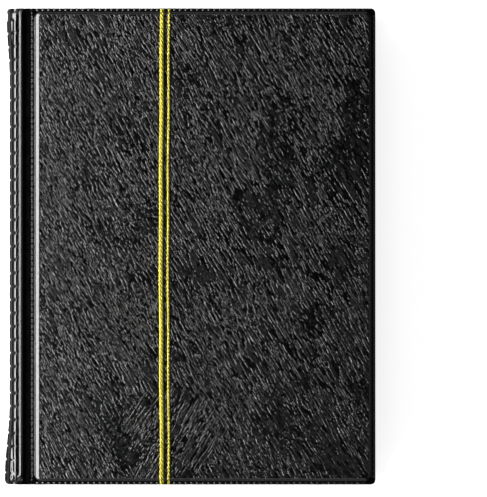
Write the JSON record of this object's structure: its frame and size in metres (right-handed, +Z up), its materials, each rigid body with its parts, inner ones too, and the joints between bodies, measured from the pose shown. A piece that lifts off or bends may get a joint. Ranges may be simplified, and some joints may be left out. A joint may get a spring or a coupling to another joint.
{
  "type": "coin album",
  "caption": "Padded vinyl coin album with a rounded spine, two hinge grooves and bound leaves of clear coin pockets; opens flat.",
  "frame": {"origin": "middle of the footprint of the closed album, at the level it rests on", "axes": "+Z up through the closed covers; +Y towards the head of the album, along the spine; the spine is on the -X side and the fore edge on the +X side"},
  "size_m": [0.192, 0.25, 0.026],
  "materials": {
    "cover_vinyl": "satin",
    "padding": "matte",
    "board": "matte",
    "liner_vinyl": "satin",
    "gold_cord": "satin",
    "leaf_vinyl": "satin",
    "clear_film": "gloss"
  },
  "bodies": {
    "back_cover": {"back_cover_skin": "cover_vinyl", "back_cover_padding": "padding", "back_cover_board": "board", "back_cover_liner": "liner_vinyl"},
    "spine": {"spine_skin": "cover_vinyl", "spine_padding": "padding", "spine_board": "board", "spine_liner": "liner_vinyl", "page_binding": "liner_vinyl"},
    "front_cover": {"front_cover_skin": "cover_vinyl", "front_cover_padding": "padding", "front_cover_board": "board", "front_cover_liner": "liner_vinyl", "gold_cord_wide": "gold_cord", "gold_cord_narrow": "gold_cord"},
    "sheet_01": {"sheet_01_backing": "leaf_vinyl", "sheet_01_pockets": "clear_film"},
    "sheet_02": {"sheet_02_backing": "leaf_vinyl", "sheet_02_pockets": "clear_film"},
    "sheet_03": {"sheet_03_backing": "leaf_vinyl", "sheet_03_pockets": "clear_film"},
    "sheet_04": {"sheet_04_backing": "leaf_vinyl", "sheet_04_pockets": "clear_film"},
    "sheet_05": {"sheet_05_backing": "leaf_vinyl", "sheet_05_pockets": "clear_film"},
    "sheet_06": {"sheet_06_backing": "leaf_vinyl", "sheet_06_pockets": "clear_film"},
    "sheet_07": {"sheet_07_backing": "leaf_vinyl", "sheet_07_pockets": "clear_film"},
    "sheet_08": {"sheet_08_backing": "leaf_vinyl", "sheet_08_pockets": "clear_film"},
    "sheet_09": {"sheet_09_backing": "leaf_vinyl", "sheet_09_pockets": "clear_film"},
    "sheet_10": {"sheet_10_backing": "leaf_vinyl", "sheet_10_pockets": "clear_film"}
  },
  "joints": [
    {"name": "spine_hinge", "type": "hinge", "parent": "back_cover", "child": "spine", "pos_m": [-0.0872, 0, 0.0048], "axis": [0, -1, 0], "range_deg": [0, 90]},
    {"name": "front_cover_hinge", "type": "hinge", "parent": "spine", "child": "front_cover", "pos_m": [-0.0872, 0, 0.0212], "axis": [0, -1, 0], "range_deg": [0, 90]},
    {"name": "sheet_01_turn", "type": "hinge", "parent": "spine", "child": "sheet_01", "pos_m": [-0.08625, 0, 0.02025], "axis": [0, -1, 0], "range_deg": [0, 90]},
    {"name": "sheet_02_turn", "type": "hinge", "parent": "spine", "child": "sheet_02", "pos_m": [-0.08505, 0, 0.01905], "axis": [0, -1, 0], "range_deg": [0, 90]},
    {"name": "sheet_03_turn", "type": "hinge", "parent": "spine", "child": "sheet_03", "pos_m": [-0.08385, 0, 0.01785], "axis": [0, -1, 0], "range_deg": [0, 90]},
    {"name": "sheet_04_turn", "type": "hinge", "parent": "spine", "child": "sheet_04", "pos_m": [-0.08265, 0, 0.01665], "axis": [0, -1, 0], "range_deg": [0, 90]},
    {"name": "sheet_05_turn", "type": "hinge", "parent": "spine", "child": "sheet_05", "pos_m": [-0.08145, 0, 0.01545], "axis": [0, -1, 0], "range_deg": [0, 90]},
    {"name": "sheet_06_turn", "type": "hinge", "parent": "spine", "child": "sheet_06", "pos_m": [-0.08195, 0, 0.01005], "axis": [0, -1, 0], "range_deg": [-90, 0]},
    {"name": "sheet_07_turn", "type": "hinge", "parent": "spine", "child": "sheet_07", "pos_m": [-0.08315, 0, 0.00885], "axis": [0, -1, 0], "range_deg": [-90, 0]},
    {"name": "sheet_08_turn", "type": "hinge", "parent": "spine", "child": "sheet_08", "pos_m": [-0.08435, 0, 0.00765], "axis": [0, -1, 0], "range_deg": [-90, 0]},
    {"name": "sheet_09_turn", "type": "hinge", "parent": "spine", "child": "sheet_09", "pos_m": [-0.08555, 0, 0.00645], "axis": [0, -1, 0], "range_deg": [-90, 0]},
    {"name": "sheet_10_turn", "type": "hinge", "parent": "spine", "child": "sheet_10", "pos_m": [-0.08675, 0, 0.00525], "axis": [0, -1, 0], "range_deg": [-90, 0]}
  ],
  "couplings": [
    {"joint": "sheet_01_turn", "follows": "front_cover_hinge", "ratio": 1},
    {"joint": "sheet_02_turn", "follows": "front_cover_hinge", "ratio": 1},
    {"joint": "sheet_03_turn", "follows": "front_cover_hinge", "ratio": 1},
    {"joint": "sheet_04_turn", "follows": "front_cover_hinge", "ratio": 1},
    {"joint": "sheet_05_turn", "follows": "front_cover_hinge", "ratio": 1},
    {"joint": "sheet_06_turn", "follows": "spine_hinge", "ratio": -1},
    {"joint": "sheet_07_turn", "follows": "spine_hinge", "ratio": -1},
    {"joint": "sheet_08_turn", "follows": "spine_hinge", "ratio": -1},
    {"joint": "sheet_09_turn", "follows": "spine_hinge", "ratio": -1},
    {"joint": "sheet_10_turn", "follows": "spine_hinge", "ratio": -1}
  ]
}
